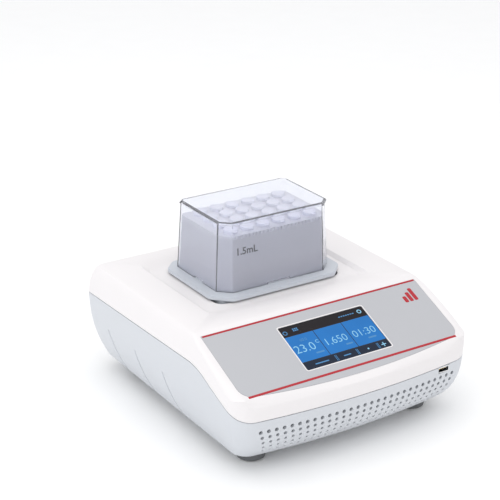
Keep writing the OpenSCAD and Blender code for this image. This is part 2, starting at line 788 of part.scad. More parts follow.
module hub_screw() {
    color("silver") at_motor() translate([0, 0, hub_z + hub_h / 2]) rotate([0, 90, 0]) rod(4, 14.1, 18.5);
}
module idler_bearings() {
    color("#cfd2d6") at_idlers() ring(19, idler_pin + 2 * running, plate_top + 1, plate_top + idler_cup);
}
module idler_crank(x, y) {
    web_z = plate_top + idler_cup + 1;
    color("#b4b8bd") at_motor() translate([x, y, 0]) {
        rod(idler_pin, plate_top + 1, web_z + 1);
        translate([throw / 2, 0, 0]) rod(13, web_z, web_z + 5);
        translate([throw, 0, 0]) rod(idler_pin, web_z + 4, pad_z - 1);
    }
}
module idler_crank_1() {
    idler_crank(-idler_x, -idler_y);
}
module idler_crank_2() {
    idler_crank(idler_x, -idler_y);
}
module idler_crank_3() {
    idler_crank(idler_x, idler_y);
}
module idler_crank_4() {
    idler_crank(-idler_x, idler_y);
}

module at_pins() {
    at_platform() for (x = [-idler_x, idler_x], y = [-idler_y, idler_y]) translate([x, y, 0]) children();
}
// Screws that hold the flange's skirt on the carrier
module at_skirt() {
    at_platform() {
        for (x = [-1, 1]) translate([x * (skirt_w - skirt_t) / 2, 0, 0]) children();
        for (y = [-1, 1]) translate([0, y * (skirt_d - skirt_t) / 2, 0]) children();
    }
}
module carrier_plate() {
    color("#a9adb3") difference() {
        union() {
            at_platform() translate([0, 0, carrier_z]) linear_extrude(carrier_t)
                rounded(flange_w - 4, flange_d - 4, 8);
            at_platform() rod(boss_d, boss_z, carrier_z + 1);
        }
        at_platform() rod(26 + 2 * running, boss_z - 1, boss_z + bearing_h + 1);
        at_pins() rod(bush_d + 2 * tap, 0, 200);
        at_skirt() rod(3 + 2 * tap, 0, 200);
    }
}
module centre_bearing() {
    color("#cfd2d6") at_platform() ring(26, 10 + 2 * running, boss_z, boss_z + bearing_h);
}
module crank_bushes() {
    color("#b08d57") at_pins() ring(bush_d, idler_pin + 2 * running, carrier_z, pad_z);
}
module insulation_pad() {
    color("#d9c9a3") difference() {
        at_platform() translate([0, 0, pad_z]) linear_extrude(pad_t) rounded(block_w, block_d, 3);
        at_platform() translate([30, 15, 0]) rod(14, mat_z - 4.2, 200);
    }
}
module heater_mat() {
    color("#c66a2b") at_platform() translate([0, 0, mat_z]) linear_extrude(mat_t)
        rounded(block_w - 4, block_d - 4, 3);
}
module at_sensor() {
    at_platform() translate([-block_w / 2, sensor_y, heater_z + heater_t / 2]) rotate([0, 90, 0]) children();
}
module heater_plate() {
    color("#c3c6ca") difference() {
        at_platform() translate([0, 0, heater_z]) linear_extrude(heater_t)
            polygon(chamfered(block_w, block_d, block_cut, 3));
        at_block_screws() rod(4 + 2 * tap, 0, 200);
        at_sensor() rod(3 + 2 * tap, -1, 25);
    }
}
module temperature_sensor() {
    color("#d0d3d7") at_sensor() rod(3, 0.5, 24);
}
module thermal_cutout() {
    color("#5a3d2a") at_platform() translate([30, 15, 0]) rod(13, mat_z - 4, mat_z);
}
module platform_flange() {
    color("#c3c9d2") at_platform() difference() {
        union() {
            translate([0, 0, flange_z]) linear_extrude(flange_t - 0.8)
                polygon(soften(chamfered(flange_w, flange_d, 17, 13), 8, 4));
            translate([0, 0, flange_top - 0.8 - eps]) linear_extrude(0.8 + eps)
                polygon(soften(chamfered(flange_w - 1.2, flange_d - 1.2, 16.6, 12.6), 8, 4));
            translate([0, 0, pad_z]) linear_extrude(flange_z - pad_z + 1) rounded(skirt_w, skirt_d, 6);
        }
        translate([0, 0, pad_z - 1]) linear_extrude(flange_z - pad_z + 1)
            rounded(block_w + pocket_gap, block_d + pocket_gap, 4);
        translate([0, 0, pad_z]) linear_extrude(40)
            polygon(chamfered(block_w + 0.6, block_d + 0.6, block_cut - 0.2, 2.8));
        for (x = [-1, 1]) translate([x * (skirt_w - skirt_t) / 2, 0, 0]) rod(3 + 2 * tap, 0, flange_z - 2);
        for (y = [-1, 1]) translate([0, y * (skirt_d - skirt_t) / 2, 0]) rod(3 + 2 * tap, 0, flange_z - 2);
    }
}
module flange_screws() {
    color("silver") at_skirt() translate([0, 0, carrier_z]) mirror([0, 0, 1]) screw(3, carrier_t + 7, 0);
}

module at_wells() {
    at_platform() for (i = [0:wells_x - 1], j = [0:wells_y - 1])
        translate([(i - (wells_x - 1) / 2) * well_pitch, (j - (wells_y - 1) / 2) * well_pitch, 0]) children();
}
module at_block_screws() {
    at_platform() for (x = [-2, 2]) translate([x * well_pitch, 0, 0]) children();
}
module heater_block() {
    color("#b9bac4") difference() {
        hull() {
            at_platform() level(flange_top) polygon(chamfered(block_w, block_d, block_cut, 3));
            at_platform() level(block_top - eps)
                polygon(chamfered(block_w - 2 * block_draft, block_d - 2 * block_draft, block_cut - 1, 3));
        }
        at_wells() rotate_extrude($fn = 48) polygon([[0, rack_z - tube_l + 1], [2.6, rack_z - tube_l + 1],
            [well_r, rack_z - tube_l + 16], [well_r, block_top + 1], [0, block_top + 1]]);
        at_block_screws() rod(4 + 2 * tap, 0, 200);
        at_block_screws() rod(8, block_top - 4, 200);
    }
}
module block_screws() {
    color("silver") at_block_screws() screw(4, block_h + heater_t - 6, block_top - 4);
}
module tube_rack() {
    w = block_w - 2 * block_draft;
    d = block_d - 2 * block_draft;
    color("#e4e8f0") difference() {
        at_platform() translate([0, 0, rack_z]) linear_extrude(rack_t)
            polygon(chamfered(w, d, block_cut - 1, 3));
        at_wells() rod(2 * well_r, 0, 200);
        at_platform() for (s = [-1, 1], i = [-12:12]) translate([i * 4, s * d / 2, rack_z - 1])
            block_box(-0.9, 0.9, -1.2, 1.2, 0, rack_t + 2);
    }
}
module tubes() {
    collar_z = rack_z + rack_t;
    color("#eef2f6") at_wells() {
        rotate_extrude($fn = 40) polygon([[0, rack_z - tube_l + 3], [1.6, rack_z - tube_l + 3],
            [tube_r - 0.3, rack_z - tube_l + 18],
            [tube_r, rack_z], [tube_r, collar_z], [collar_r, collar_z],
            [collar_r, collar_z + 1.6], [tube_r - 1, collar_z + 1.6], [tube_r - 1, rack_z],
            [tube_r - 1.4, rack_z - tube_l + 18],
            [0.8, rack_z - tube_l + 4.4], [0, rack_z - tube_l + 4.4]]);
        block_box(-2, 2, collar_r - 0.4, collar_r + 1.2, collar_z, collar_z + 1.6);
    }
}
module tube_caps() {
    cap_z = rack_z + rack_t + 1.6;
    color("#e2e7ee") at_wells() {
        rotate_extrude($fn = 40)
            polygon([[0, cap_z - 0.2], [tube_r - 2, cap_z - 0.2], [tube_r - 2, cap_z - 3.4],
            [tube_r - 1.15, cap_z - 3.4], [tube_r - 1.15, cap_z], [collar_r, cap_z],
            [collar_r, cap_z + 1.4], [collar_r - 0.5, cap_z + 1.9], [0, cap_z + 1.9]]);
        block_box(-2, 2, collar_r - 0.6, collar_r + 1.6, cap_z, cap_z + 1.2);
        block_box(-2.4, 2.4, -collar_r - 1.6, 0.4 - collar_r, cap_z + 0.3, cap_z + 1.2);
    }
}
module lid() {
    lip = 0.8;
    rim_w = lid_w - 2 * (lid_draft - lip);
    rim_d = lid_d - 2 * (lid_draft - lip);
    rim_t = 3;
    bevel = 2.1;
    inner_top = lid_top - 2.2;
    share = (inner_top - flange_top) / lid_h;
    color("#dfe6ef", 0.5) at_platform() difference() {
        union() {
            hull() {
                level(flange_top) polygon(chamfered(lid_w, lid_d, lid_chamfer, 4));
                level(lid_top - 1)
                    polygon(chamfered(lid_w - 2 * lid_draft, lid_d - 2 * lid_draft, lid_chamfer - 1, 4));
            }
            hull() {
                level(lid_top - rim_t) polygon(chamfered(rim_w, rim_d, 10, 4));
                level(lid_top - rim_t + 1) polygon(chamfered(rim_w, rim_d, 10, 4));
                level(lid_top - eps) polygon(chamfered(rim_w - 2 * bevel, rim_d - 2 * bevel, 8, 3));
            }
        }
        hull() {
            level(flange_top - 0.1)
                polygon(chamfered(lid_w - 2 * lid_wall, lid_d - 2 * lid_wall, lid_chamfer - 1, 3));
            level(inner_top) polygon(chamfered(lid_w - 2 * lid_wall - 2 * lid_draft * share,
                lid_d - 2 * lid_wall - 2 * lid_draft * share, lid_chamfer - 3, 3));
        }
        block_box(-13, 13, -lid_d, -lid_d / 2 + 3, flange_top - 1, flange_top + 1.8);
        block_box(-lid_w, -lid_w / 2 + 3, -8, 8, flange_top - 1, flange_top + 1.8);
    }
}

module main_board() {
    color("#1f6b43") difference() {
        block_box(-board_x, board_x, board_y0, board_y1, board_z, board_z + board_t);
        at_board() rod(3 + 2 * tap, 0, 100);
    }
}
module board_parts() {
    color("#3b3f45") translate([0, 0, board_z + board_t]) {
        for (i = [0:4]) translate([-62 + i * 4, -70, 0]) block_box(0, 1.6, -20, 20, 0, 20);
        block_box(-62, -44.4, -90, -50, 0, 2.5);
        for (x = [-22, -8]) translate([x, -86, 0]) rod(10, 0, 16);
        block_box(4, 24, -96, -76, 0, 2);
        block_box(34, 60, -62, -42, 0, 14);
        block_box(30, 66, -104, -96, 0, 9);
        block_box(-20, 10, -56, -44, 0, 8);
    }
}
module board_screws() {
    color("silver") at_board() screw(3, board_t + 6, board_z + board_t);
}
module power_supply() {
    color("#9ea3a9") difference() {
        block_box(74, 106, -15, 81, inside_z, inside_z + 34);
        for (i = [0:7], j = [0:2]) translate([82 + j * 8, 1 + i * 9, inside_z + 25]) rod(4.5, 0, 20);
    }
}

top_cover();
base_housing();
control_label();
label_stripes();
touch_glass();
display_module();
display_bracket();
display_board();
display_screws();
usb_socket();
usb_board();
rear_panel();
rear_panel_screws();
mains_inlet();
inlet_pins();
fuse_drawer();
fuses();
switch_frame();
switch_rocker();
fan_frame();
fan_screws();
fan_rotor();
feet();
housing_screws();
chassis_plate();
rating_plate();
motor_posts();
motor_plate();
post_screws();
drive_motor();
motor_screws();
motor_bearing();
drive_shaft();
counterweight();
hub_screw();
idler_bearings();
idler_crank_1();
idler_crank_2();
idler_crank_3();
idler_crank_4();
carrier_plate();
centre_bearing();
crank_bushes();
insulation_pad();
heater_mat();
heater_plate();
platform_flange();
flange_screws();
heater_block();
block_screws();
temperature_sensor();
thermal_cutout();
tube_rack();
tubes();
tube_caps();
lid();
main_board();
board_parts();
board_screws();
power_supply();
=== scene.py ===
# Dry block heater with orbital shaking: looks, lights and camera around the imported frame.
import json
import math

import bmesh
import bpy
import numpy as np
from mathutils import Matrix, Vector


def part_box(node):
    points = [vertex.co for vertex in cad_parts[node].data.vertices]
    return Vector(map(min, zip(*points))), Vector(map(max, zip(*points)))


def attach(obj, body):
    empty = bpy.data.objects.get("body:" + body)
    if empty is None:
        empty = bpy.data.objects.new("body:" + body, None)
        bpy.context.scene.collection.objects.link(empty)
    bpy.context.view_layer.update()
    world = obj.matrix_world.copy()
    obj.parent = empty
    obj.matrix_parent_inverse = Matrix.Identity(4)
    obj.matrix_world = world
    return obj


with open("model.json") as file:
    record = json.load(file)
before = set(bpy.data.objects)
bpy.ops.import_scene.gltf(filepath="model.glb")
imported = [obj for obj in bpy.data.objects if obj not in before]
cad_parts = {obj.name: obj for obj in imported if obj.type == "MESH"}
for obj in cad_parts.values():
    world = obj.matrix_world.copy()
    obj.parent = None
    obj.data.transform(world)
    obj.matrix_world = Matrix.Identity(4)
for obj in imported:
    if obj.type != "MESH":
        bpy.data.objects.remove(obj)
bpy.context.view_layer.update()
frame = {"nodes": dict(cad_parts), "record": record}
nodes = frame["nodes"]
mm = 0.001
print("frame loaded:", len(nodes), "nodes")


# shader groups shared by several finishes

def newGroup(name, inputs, outputs):
    group = bpy.data.node_groups.new(name, "ShaderNodeTree")
    for label, kind, value in inputs:
        socket = group.interface.new_socket(name=label, in_out="INPUT", socket_type=kind)
        socket.default_value = value
    for label, kind in outputs:
        group.interface.new_socket(name=label, in_out="OUTPUT", socket_type=kind)
    return group, group.nodes.new("NodeGroupInput"), group.nodes.new("NodeGroupOutput")


def mathNode(tree, operation, a, b=None):
    node = tree.nodes.new("ShaderNodeMath")
    node.operation = operation
    for slot, value in enumerate((a, b)):
        if value is None:
            continue
        if isinstance(value, (int, float)):
            node.inputs[slot].default_value = value
        else:
            tree.links.new(value, node.inputs[slot])
    return node.outputs[0]


def makeGrainGroup():
    # height = fine noise * amount; tone = a broad cloud around 1; gloss = a broad cloud around 0
    group, gIn, gOut = newGroup(
        "mouldedGrain",
        [("Fine Scale", "NodeSocketFloat", 2600.0), ("Cloud Scale", "NodeSocketFloat", 22.0),
         ("Cloud Amount", "NodeSocketFloat", 0.03)],
        [("Height", "NodeSocketFloat"), ("Tone", "NodeSocketFloat"), ("Gloss", "NodeSocketFloat")])
    place = group.nodes.new("ShaderNodeTexCoord")
    fine = group.nodes.new("ShaderNodeTexNoise")
    fine.inputs["Detail"].default_value = 2.0
    cloud = group.nodes.new("ShaderNodeTexNoise")
    cloud.inputs["Detail"].default_value = 3.0
    for noise, scale in ((fine, "Fine Scale"), (cloud, "Cloud Scale")):
        group.links.new(place.outputs["Object"], noise.inputs["Vector"])
        group.links.new(gIn.outputs[scale], noise.inputs["Scale"])
    swing = mathNode(group, "SUBTRACT", cloud.outputs["Fac"], 0.5)
    spread = mathNode(group, "MULTIPLY", swing, gIn.outputs["Cloud Amount"])
    group.links.new(fine.outputs["Fac"], gOut.inputs["Height"])
    group.links.new(mathNode(group, "ADD", spread, 1.0), gOut.inputs["Tone"])
    group.links.new(spread, gOut.inputs["Gloss"])
    return group


def makeBrushGroup():
    # height = noise stretched along one axis, as a belt leaves it
    group, gIn, gOut = newGroup(
        "beltBrush",
        [("Across", "NodeSocketFloat", 2400.0), ("Along", "NodeSocketFloat", 30.0)],
        [("Height", "NodeSocketFloat")])
    place = group.nodes.new("ShaderNodeTexCoord")
    split = group.nodes.new("ShaderNodeSeparateXYZ")
    joined = group.nodes.new("ShaderNodeCombineXYZ")
    group.links.new(place.outputs["Object"], split.inputs[0])
    for axis, rate in (("X", "Along"), ("Y", "Across"), ("Z", "Across")):
        scaled = mathNode(group, "MULTIPLY", split.outputs[axis], gIn.outputs[rate])
        group.links.new(scaled, joined.inputs[axis])
    noise = group.nodes.new("ShaderNodeTexNoise")
    noise.inputs["Scale"].default_value = 1.0
    group.links.new(joined.outputs[0], noise.inputs["Vector"])
    group.links.new(noise.outputs["Fac"], gOut.inputs["Height"])
    return group


grainGroup = makeGrainGroup()
brushGroup = makeBrushGroup()


def newMaterial(name):
    material = bpy.data.materials.new(name)
    material.use_nodes = True
    tree = material.node_tree
    return material, tree, tree.nodes["Principled BSDF"]


def bumpFrom(tree, height, shader, strength, distance):
    bump = tree.nodes.new("ShaderNodeBump")
    bump.inputs["Strength"].default_value = strength
    bump.inputs["Distance"].default_value = distance
    tree.links.new(height, bump.inputs["Height"])
    tree.links.new(bump.outputs["Normal"], shader.inputs["Normal"])


def grained(name, look):
    # a moulded, cast or painted surface: tone and gloss drift slowly, and a fine grain lies over it
    material, tree, shader = newMaterial(name)
    grain = tree.nodes.new("ShaderNodeGroup")
    grain.node_tree = grainGroup
    grain.inputs["Fine Scale"].default_value = look.get("grain", 2600.0)
    grain.inputs["Cloud Scale"].default_value = look.get("cloud", 22.0)
    grain.inputs["Cloud Amount"].default_value = look.get("drift", 0.03)
    tint = tree.nodes.new("ShaderNodeMix")
    tint.data_type = "RGBA"
    tint.blend_type = "MULTIPLY"
    tint.inputs["Factor"].default_value = 1.0
    tint.inputs["A"].default_value = (*look["color"], 1.0)
    tree.links.new(grain.outputs["Tone"], tint.inputs["B"])
    tree.links.new(tint.outputs["Result"], shader.inputs["Base Color"])
    rough = mathNode(tree, "ADD", grain.outputs["Gloss"], look["roughness"])
    tree.links.new(rough, shader.inputs["Roughness"])
    shader.inputs["Metallic"].default_value = look.get("metallic", 0.0)
    shader.inputs["IOR"].default_value = look.get("ior", 1.5)
    if look.get("coat"):
        shader.inputs["Coat Weight"].default_value = look["coat"]
        shader.inputs["Coat Roughness"].default_value = 0.12
    bumpFrom(tree, grain.outputs["Height"], shader, look.get("bump", 0.08), look.get("depth", 0.00005))
    return material


def brushed(name, look):
    material, tree, shader = newMaterial(name)
    brush = tree.nodes.new("ShaderNodeGroup")
    brush.node_tree = brushGroup
    brush.inputs["Across"].default_value = look.get("across", 2400.0)
    brush.inputs["Along"].default_value = look.get("along", 40.0)
    ramp = tree.nodes.new("ShaderNodeMapRange")
    ramp.inputs["To Min"].default_value = look["roughness"] - 0.06
    ramp.inputs["To Max"].default_value = look["roughness"] + 0.08
    tree.links.new(brush.outputs["Height"], ramp.inputs["Value"])
    tree.links.new(ramp.outputs["Result"], shader.inputs["Roughness"])
    shader.inputs["Base Color"].default_value = (*look["color"], 1.0)
    shader.inputs["Metallic"].default_value = 1.0
    bumpFrom(tree, brush.outputs["Height"], shader, look.get("bump", 0.1), 0.00003)
    return material


def clearPlastic(name, look):
    # clear plastic: faint flow lines from moulding disturb its reflections
    material, tree, shader = newMaterial(name)
    shader.inputs["Base Color"].default_value = (*look["color"], 1.0)
    shader.inputs["Transmission Weight"].default_value = look["clarity"]
    shader.inputs["IOR"].default_value = look["ior"]
    grain = tree.nodes.new("ShaderNodeGroup")
    grain.node_tree = grainGroup
    grain.inputs["Fine Scale"].default_value = look.get("grain", 60.0)
    rough = mathNode(tree, "ADD", grain.outputs["Gloss"], look["roughness"])
    tree.links.new(mathNode(tree, "MAXIMUM", rough, 0.0), shader.inputs["Roughness"])
    bumpFrom(tree, grain.outputs["Height"], shader, look.get("bump", 0.05), 0.0002)
    # shadow rays pass straight through, so that what stands inside is lit
    rays = tree.nodes.new("ShaderNodeLightPath")
    clearPath = tree.nodes.new("ShaderNodeBsdfTransparent")
    clearPath.inputs["Color"].default_value = (*look["shade"], 1.0)
    mix = tree.nodes.new("ShaderNodeMixShader")
    tree.links.new(rays.outputs["Is Shadow Ray"], mix.inputs[0])
    tree.links.new(shader.outputs[0], mix.inputs[1])
    tree.links.new(clearPath.outputs[0], mix.inputs[2])
    tree.links.new(mix.outputs[0], tree.nodes["Material Output"].inputs["Surface"])
    return material


def lit(name, color, strength):
    # a patch of the display: it glows, with weak, rough reflections over it
    material, tree, shader = newMaterial(name)
    place = tree.nodes.new("ShaderNodeTexCoord")
    dots = tree.nodes.new("ShaderNodeTexNoise")
    dots.inputs["Scale"].default_value = 40.0
    tree.links.new(place.outputs["Object"], dots.inputs["Vector"])
    ramp = tree.nodes.new("ShaderNodeValToRGB")
    ramp.color_ramp.elements[0].color = (*[c * 0.88 for c in color], 1.0)
    ramp.color_ramp.elements[1].color = (*[min(1.0, c * 1.1) for c in color], 1.0)
    tree.links.new(dots.outputs["Fac"], ramp.inputs["Fac"])
    tree.links.new(ramp.outputs["Color"], shader.inputs["Emission Color"])
    shader.inputs["Base Color"].default_value = (0.004, 0.004, 0.005, 1.0)
    shader.inputs["Emission Strength"].default_value = strength
    shader.inputs["Roughness"].default_value = 0.5
    shader.inputs["Specular IOR Level"].default_value = 0.15
    return material


# finishes, one for each slot of the record

finishes = {
    "cover_white": (grained, {"color": (0.80, 0.775, 0.78), "roughness": 0.40, "drift": 0.02, "bump": 0.05}),
    "shell_grey": (grained, {"color": (0.61, 0.63, 0.665), "roughness": 0.42, "drift": 0.03, "bump": 0.07}),
    "label_grey": (grained, {"color": (0.46, 0.465, 0.49), "roughness": 0.34, "drift": 0.05, "cloud": 9.0,
                             "grain": 5200.0, "bump": 0.1}),
    "stripe_red": (grained, {"color": (0.42, 0.006, 0.016), "roughness": 0.42}),
    "screen_glass": (grained, {"color": (0.006, 0.007, 0.01), "roughness": 0.06, "drift": 0.0, "bump": 0.0,
                               "coat": 0.0}),
    "dark_plastic": (grained, {"color": (0.018, 0.018, 0.02), "roughness": 0.45, "bump": 0.2}),
    "steel": (brushed, {"color": (0.56, 0.57, 0.59), "roughness": 0.36}),
    "zinc": (grained, {"color": (0.62, 0.62, 0.63), "roughness": 0.3, "metallic": 1.0, "drift": 0.1,
                       "cloud": 300.0}),
    "bearing_steel": (brushed, {"color": (0.66, 0.67, 0.69), "roughness": 0.2, "across": 5000.0}),
    "aluminium": (brushed, {"color": (0.66, 0.67, 0.69), "roughness": 0.34, "across": 1800.0}),
    "flange_paint": (grained, {"color": (0.56, 0.59, 0.64), "roughness": 0.36, "grain": 1500.0, "bump": 0.12}),
    "block_grey": (grained, {"color": (0.47, 0.47, 0.52), "roughness": 0.36, "grain": 3200.0, "bump": 0.16,
                             "drift": 0.06, "ior": 1.6}),
    "clear_lid": (clearPlastic, {"color": (0.95, 0.96, 1.0), "shade": (0.93, 0.94, 0.97), "roughness": 0.0,
                                 "ior": 1.32, "clarity": 0.94}),
    "clear_tube": (clearPlastic, {"color": (0.90, 0.90, 0.97), "shade": (0.93, 0.93, 0.97), "roughness": 0.08,
                                  "ior": 1.38, "clarity": 0.42, "grain": 400.0, "bump": 0.12}),
    "foot_rubber": (grained, {"color": (0.12, 0.125, 0.13), "roughness": 0.7, "grain": 1800.0, "bump": 0.3}),
    "board_green": (grained, {"color": (0.012, 0.10, 0.035), "roughness": 0.35, "cloud": 160.0, "drift": 0.3}),
    "part_black": (grained, {"color": (0.03, 0.03, 0.033), "roughness": 0.5, "cloud": 90.0, "drift": 0.4}),
    "motor_black": (grained, {"color": (0.03, 0.03, 0.034), "roughness": 0.4, "metallic": 0.4, "bump": 0.2}),
    "insulation": (grained, {"color": (0.55, 0.48, 0.33), "roughness": 0.95, "grain": 900.0, "bump": 0.8,
                             "depth": 0.0004, "drift": 0.2, "cloud": 120.0}),
    "heater_orange": (grained, {"color": (0.45, 0.12, 0.02), "roughness": 0.3, "cloud": 60.0, "drift": 0.2}),
    "bronze": (grained, {"color": (0.45, 0.28, 0.11), "roughness": 0.4, "metallic": 1.0, "bump": 0.25}),
    "fuse_glass": (clearPlastic, {"color": (0.92, 0.95, 0.96), "shade": (0.9, 0.92, 0.93), "roughness": 0.02,
                                  "ior": 1.5, "clarity": 1.0}),
}
materialOf = {slot: make(slot, look) for slot, (make, look) in finishes.items()}


def softenEdges(obj, angle):
    # loose triangles are joined, and only edges sharper than angle stay sharp
    obj.data.polygons.foreach_set("use_smooth", np.ones(len(obj.data.polygons), bool))
    weld = obj.modifiers.new("weld", "WELD")
    weld.merge_threshold = 0.000004
    split = obj.modifiers.new("keepSharp", "EDGE_SPLIT")
    split.split_angle = math.radians(angle)


sharpAngle = {"base_housing": 24, "top_cover": 24, "tubes": 40, "tube_caps": 40, "feet": 40, "lid": 12}
for part in frame["record"]["subparts"]:
    obj = nodes[part["node"]]
    if "custom_normal" in obj.data.attributes:
        obj.data.attributes.remove(obj.data.attributes["custom_normal"])
    obj.data.materials.clear()
    obj.data.materials.append(materialOf[part["material_slot"]])
    softenEdges(obj, sharpAngle.get(part["node"], 30))
print("finishes on CAD nodes done")


# surfaces from arrays

def gridPiece(name, points, material, closedU=False, closedV=False):
    # points has shape (rows, columns, 3); each cell of the grid becomes one four-sided face
    rows, columns, _ = points.shape
    r = np.arange(rows if closedU else rows - 1)[:, None]
    c = np.arange(columns if closedV else columns - 1)[None, :]
    r1, c1 = (r + 1) % rows, (c + 1) % columns
    corners = (r * columns + c, r * columns + c1, r1 * columns + c1, r1 * columns + c)
    quads = np.stack(np.broadcast_arrays(*corners), axis=-1).reshape(-1, 4)
    mesh = bpy.data.meshes.new(name)
    mesh.from_pydata(points.reshape(-1, 3), [], quads)
    mesh.validate()
    mesh.materials.append(material)
    obj = bpy.data.objects.new(name, mesh)
    bpy.context.scene.collection.objects.link(obj)
    return obj


def placed(points, origin, across, along, outward):
    # local (x, y, z) becomes origin + x*across + y*along + z*outward
    basis = np.array([across, along, outward])
    return np.asarray(origin) + points @ basis


def roundedCorners(x0, x1, y0, y1, radius, steps=40):
    # angles t around the outline of a rectangle, and for each the centre (cx, cy) of its corner's arc
    t = np.linspace(0, 2 * math.pi, steps, endpoint=False) + math.pi / steps
    cx = np.where(np.cos(t) > 0, x1 - radius, x0 + radius)
    cy = np.where(np.sin(t) > 0, y1 - radius, y0 + radius)
    return t, cx, cy


def patch(name, x0, x1, y0, y1, radius, place, material, thick=0.00006):
    # a thin rounded rectangle: rings of a rounded outline shrink to its middle, and the last ring drops to
    # the back; outline corner angle t gives (cx + r cos t, cy + r sin t)
    t, cx, cy = roundedCorners(x0, x1, y0, y1, radius)
    outline = np.stack([cx + radius * np.cos(t), cy + radius * np.sin(t)], axis=1)
    centre = np.array([(x0 + x1) / 2, (y0 + y1) / 2])
    share = np.array([0.0, 1.0, 1.0, 0.0])[:, None, None]
    flat = centre + (outline - centre)[None] * share
    height = np.broadcast_to(np.array([0.0, 0.0, thick, thick])[:, None, None], flat.shape[:2] + (1,))
    points = np.concatenate([flat, height], axis=2)
    piece = gridPiece(name, placed(points, *place), material, closedV=True)
    cleanUp(piece)
    return piece


def cleanUp(obj):
    # doubled points at the poles are merged, then all faces are turned outwards
    work = bmesh.new()
    work.from_mesh(obj.data)
    bmesh.ops.remove_doubles(work, verts=work.verts, dist=1e-6)
    bmesh.ops.recalc_face_normals(work, faces=work.faces)
    work.to_mesh(obj.data)
    work.free()


def ringPatch(name, x, y, radius, width, place, material, thick=0.00006):
    # a flat ring of rectangular section: section corners carried round a circle
    t = np.linspace(0, 2 * math.pi, 32, endpoint=False)[:, None]
    r = np.array([radius - width, radius, radius, radius - width])[None, :]
    h = np.array([0.0, 0.0, thick, thick])[None, :]
    points = np.stack(np.broadcast_arrays(x + r * np.cos(t), y + r * np.sin(t), h + 0 * t), axis=2)
    piece = gridPiece(name, placed(points, *place), material, closedU=True, closedV=True)
    cleanUp(piece)
    return piece


def rimPatch(name, x0, x1, y0, y1, radius, width, place, material, thick=0.00015):
    # a frame of rectangular section: a rounded outline, and the same outline drawn in by width; corner angle t
    # gives (cx + r cos t, cy + r sin t)
    t, cx, cy = roundedCorners(x0, x1, y0, y1, radius)
    r = np.array([radius, radius, radius - width, radius - width])[:, None]
    h = np.array([0.0, thick, thick, 0.0])[:, None]
    points = np.stack(np.broadcast_arrays(cx + r * np.cos(t), cy + r * np.sin(t), h + 0 * t), axis=2)
    piece = gridPiece(name, placed(points, *place), material, closedU=True, closedV=True)
    cleanUp(piece)
    return piece


def figures(name, words, size, x, y, place, material, align="CENTER", thin=0.0):
    # figures are made a mesh first, and then laid on their surface
    curve = bpy.data.curves.new(name + "Curve", "FONT")
    curve.body = words
    curve.size = size
    curve.align_x = align
    curve.extrude = 0.00003
    curve.offset = thin
    curve.resolution_u = 4
    holder = bpy.data.objects.new(name + "Curve", curve)
    bpy.context.scene.collection.objects.link(holder)
    bpy.context.view_layer.update()
    flat = bpy.data.meshes.new_from_object(holder.evaluated_get(bpy.context.evaluated_depsgraph_get()))
    bpy.data.objects.remove(holder)
    bpy.data.curves.remove(curve)
    co = np.zeros(len(flat.vertices) * 3)
    flat.vertices.foreach_get("co", co)
    co = co.reshape(-1, 3) + np.array([x, y, 0.00003])
    flat.vertices.foreach_set("co", placed(co, *place).ravel())
    flat.name = name
    flat.materials.clear()
    flat.materials.append(material)
    obj = bpy.data.objects.new(name, flat)
    bpy.context.scene.collection.objects.link(obj)
    cleanUp(obj)
    return obj


# the display's picture

screen = {
    "slope": math.radians(23.15),
    "width": 95 * mm,
    "height": 53.9 * mm,
    "barHeight": 12.4 * mm,        # black bar along the top
    "navHeight": 9.4 * mm,         # dark bar along the bottom
    "gap": 0.7 * mm,               # dark line between tiles
    "tileBlue": (0.018, 0.19, 0.56),
    "navBlue": (0.010, 0.019, 0.040),
    "pale": (0.30, 0.64, 0.88),
    "dim": (0.09, 0.28, 0.56),
    "barBlack": (0.012, 0.009, 0.011),
    "edge": 0.4 * mm,              # dark margin around the picture
    "figureSize": 14.6 * mm,
    "baseLine": -6.2 * mm,         # foot of the readings, from the middle
    "readings": (("23.0", 0.90, -2.2 * mm), ("1,650", 0.80, 0.0), ("01:30", 0.80, 0.6 * mm)),
    "captions": ((8.5, 9.0), (9.5, 7.5), (4.0, 9.0)),
    "ticks": (0.37, 0.62, 0.865),
    "words": ((0.20, 15.0), (0.495, 8.0)),
    "glass": 1.5 * mm,
    "label": 0.5 * mm,
    "lift": 0.02 * mm,             # grounds lie this far above the glass
    "inkLift": 0.10 * mm,
}
slopeAlong = np.array([0, math.cos(screen["slope"]), math.sin(screen["slope"])])
slopeOut = np.array([0, -math.sin(screen["slope"]), math.cos(screen["slope"])])
acrossX = np.array([1.0, 0.0, 0.0])
glassLow, glassHigh = (np.array(v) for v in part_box("touch_glass"))
glassMiddle = (glassLow + glassHigh) / 2
glassTop = screen["glass"] / 2
screenPlace = (glassMiddle + slopeOut * (glassTop + screen["lift"]), acrossX, slopeAlong, slopeOut)
inkPlace = (glassMiddle + slopeOut * (glassTop + screen["inkLift"]), acrossX, slopeAlong, slopeOut)


